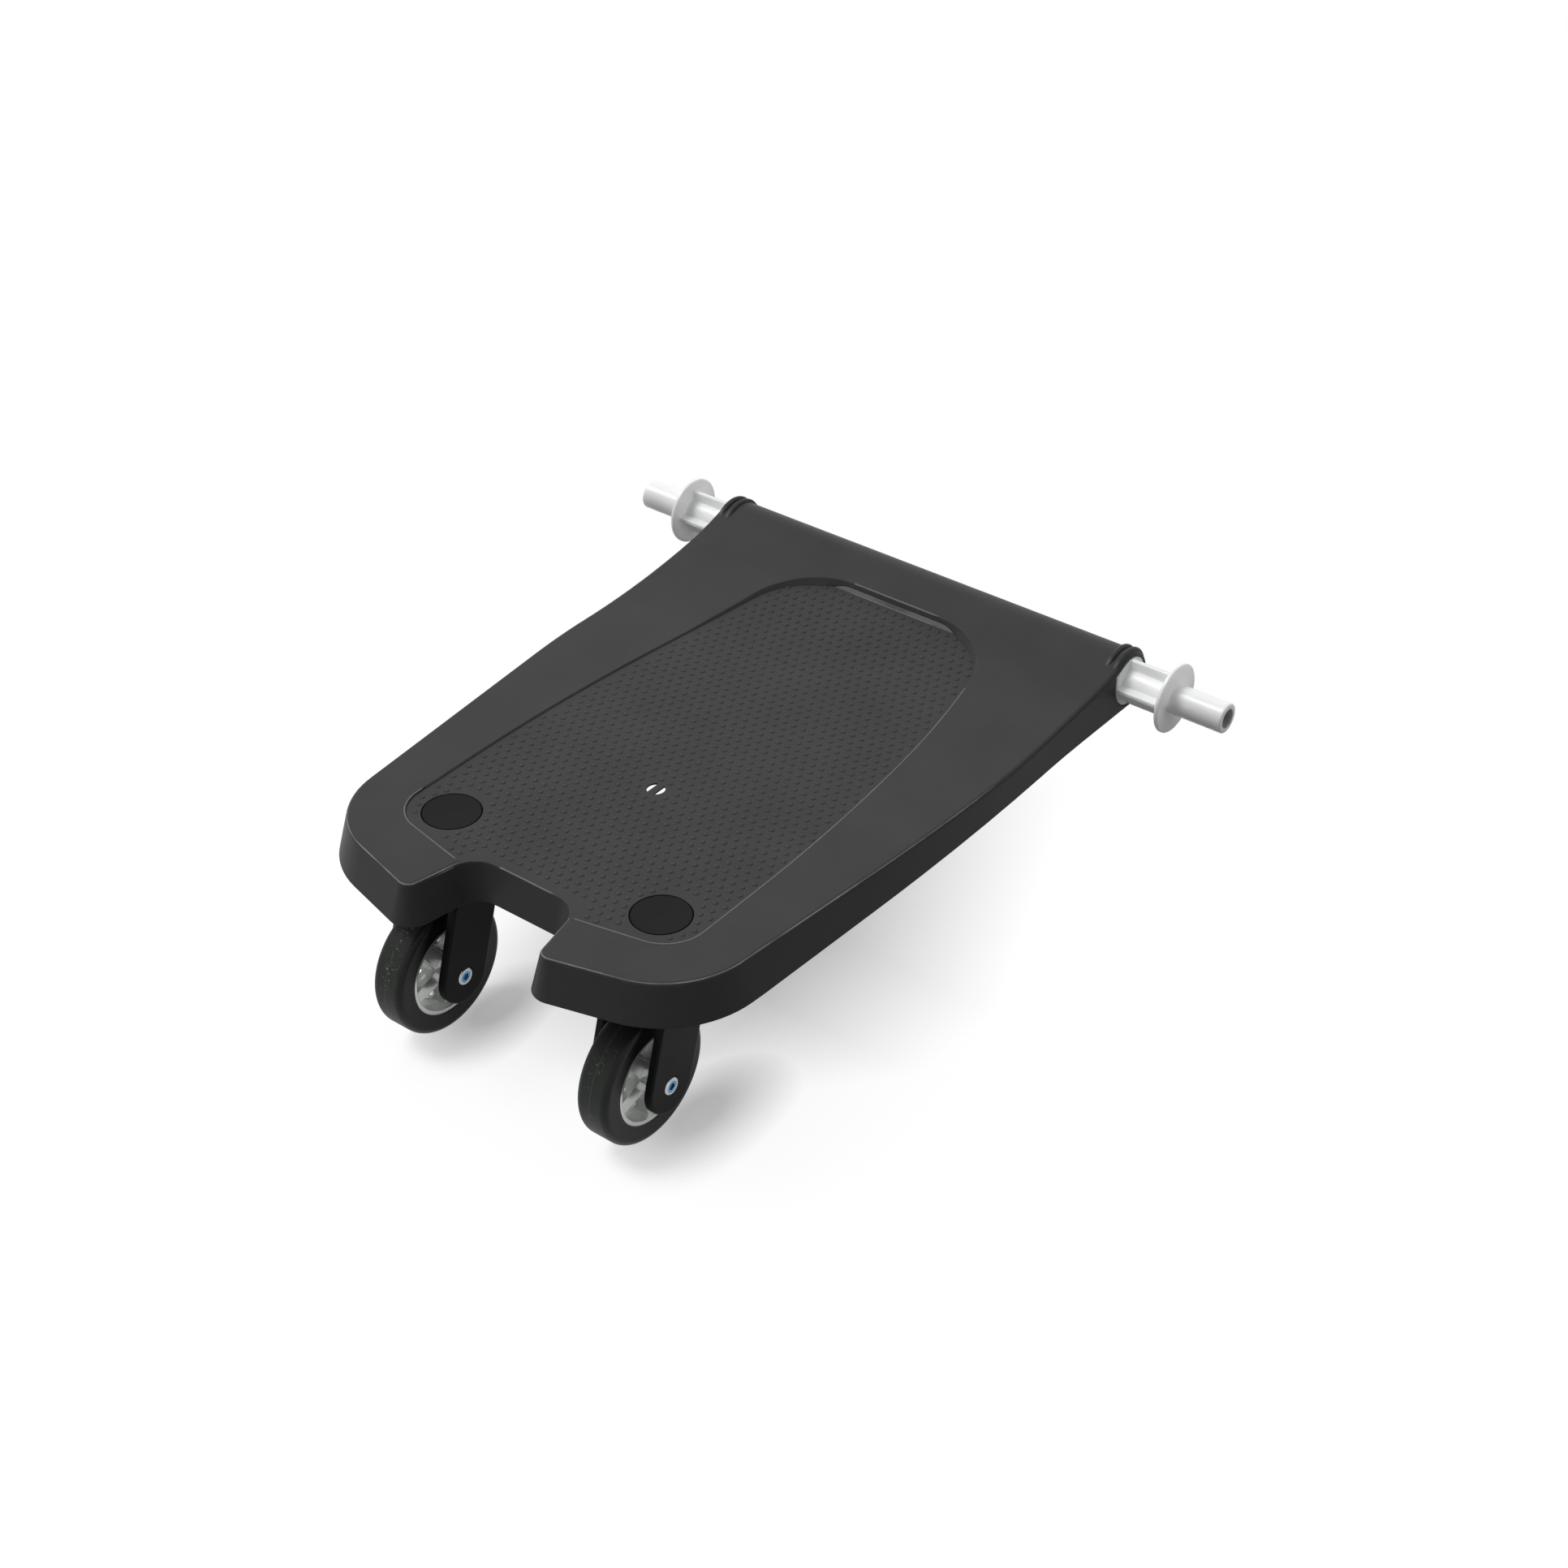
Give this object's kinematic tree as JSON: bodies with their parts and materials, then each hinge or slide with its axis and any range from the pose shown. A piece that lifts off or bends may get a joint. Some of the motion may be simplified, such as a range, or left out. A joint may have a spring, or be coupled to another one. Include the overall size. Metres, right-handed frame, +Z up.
{
  "type": "buggy board",
  "caption": "Ride-on board that hooks behind a pushchair: a flat standing deck with a dotted tread, spring-loaded hitch pins on a front roll and swivel casters under a notched rear.",
  "frame": {"origin": "on the floor, at the middle of the board's width and length", "axes": "+X to the board's right along the hitch pins, +Y forwards to the pushchair, +Z up"},
  "size_m": [0.4232, 0.4207, 0.1515],
  "materials": {
    "deck_plastic": "fine satin grain, charcoal",
    "cap_plastic": "matte black",
    "white_nylon": "milky white, semi-gloss",
    "bush_nylon": "natural white",
    "fork_nylon": "satin black",
    "hub_plastic": "light grey, semi-gloss",
    "tyre_rubber": "matte black rubber",
    "zinc_steel": "zinc plated",
    "spring_steel": "bright drawn wire"
  },
  "bodies": {
    "deck": {"deck": "deck_plastic", "channel_cover": "deck_plastic", "cover_screws": "zinc_steel", "caster_cap_left": "cap_plastic", "upper_bush_left": "bush_nylon", "lower_bush_left": "bush_nylon", "plunger_spring_left": "spring_steel", "caster_cap_right": "cap_plastic", "upper_bush_right": "bush_nylon", "lower_bush_right": "bush_nylon", "plunger_spring_right": "spring_steel"},
    "left_plunger": {"pin_plunger_left": "white_nylon"},
    "left_caster": {"fork_left": "fork_nylon", "kingpin_left": "zinc_steel", "kingpin_washer_left": "zinc_steel", "kingpin_nut_left": "zinc_steel", "axle_sleeve_left": "zinc_steel", "axle_bolt_left": "zinc_steel", "axle_nut_left": "zinc_steel"},
    "left_wheel": {"hub_left": "hub_plastic", "tyre_left": "tyre_rubber", "wheel_bushes_left": "bush_nylon"},
    "right_plunger": {"pin_plunger_right": "white_nylon"},
    "right_caster": {"fork_right": "fork_nylon", "kingpin_right": "zinc_steel", "kingpin_washer_right": "zinc_steel", "kingpin_nut_right": "zinc_steel", "axle_sleeve_right": "zinc_steel", "axle_bolt_right": "zinc_steel", "axle_nut_right": "zinc_steel"},
    "right_wheel": {"hub_right": "hub_plastic", "tyre_right": "tyre_rubber", "wheel_bushes_right": "bush_nylon"}
  },
  "joints": [
    {"name": "left_swivel", "type": "hinge", "parent": "deck", "child": "left_caster", "pos_m": [-0.07305, -0.14133, 0.09], "axis": [0, 0, 1], "continuous": true},
    {"name": "left_wheel_spin", "type": "hinge", "parent": "left_caster", "child": "left_wheel", "pos_m": [-0.07305, -0.16233, 0.04], "axis": [1, 0, 0], "continuous": true},
    {"name": "left_plunger_slide", "type": "slide", "parent": "deck", "child": "left_plunger", "axis": [1, 0, 0], "range_m": [0, 0.026], "stiffness_N_per_m": 400, "springref_m": -0.01, "deforming": ["plunger_spring_left"]},
    {"name": "right_swivel", "type": "hinge", "parent": "deck", "child": "right_caster", "pos_m": [0.07305, -0.14133, 0.09], "axis": [0, 0, 1], "continuous": true},
    {"name": "right_wheel_spin", "type": "hinge", "parent": "right_caster", "child": "right_wheel", "pos_m": [0.07305, -0.16233, 0.04], "axis": [1, 0, 0], "continuous": true},
    {"name": "right_plunger_slide", "type": "slide", "parent": "deck", "child": "right_plunger", "axis": [-1, 0, 0], "range_m": [0, 0.026], "stiffness_N_per_m": 400, "springref_m": -0.01, "deforming": ["plunger_spring_right"]}
  ]
}
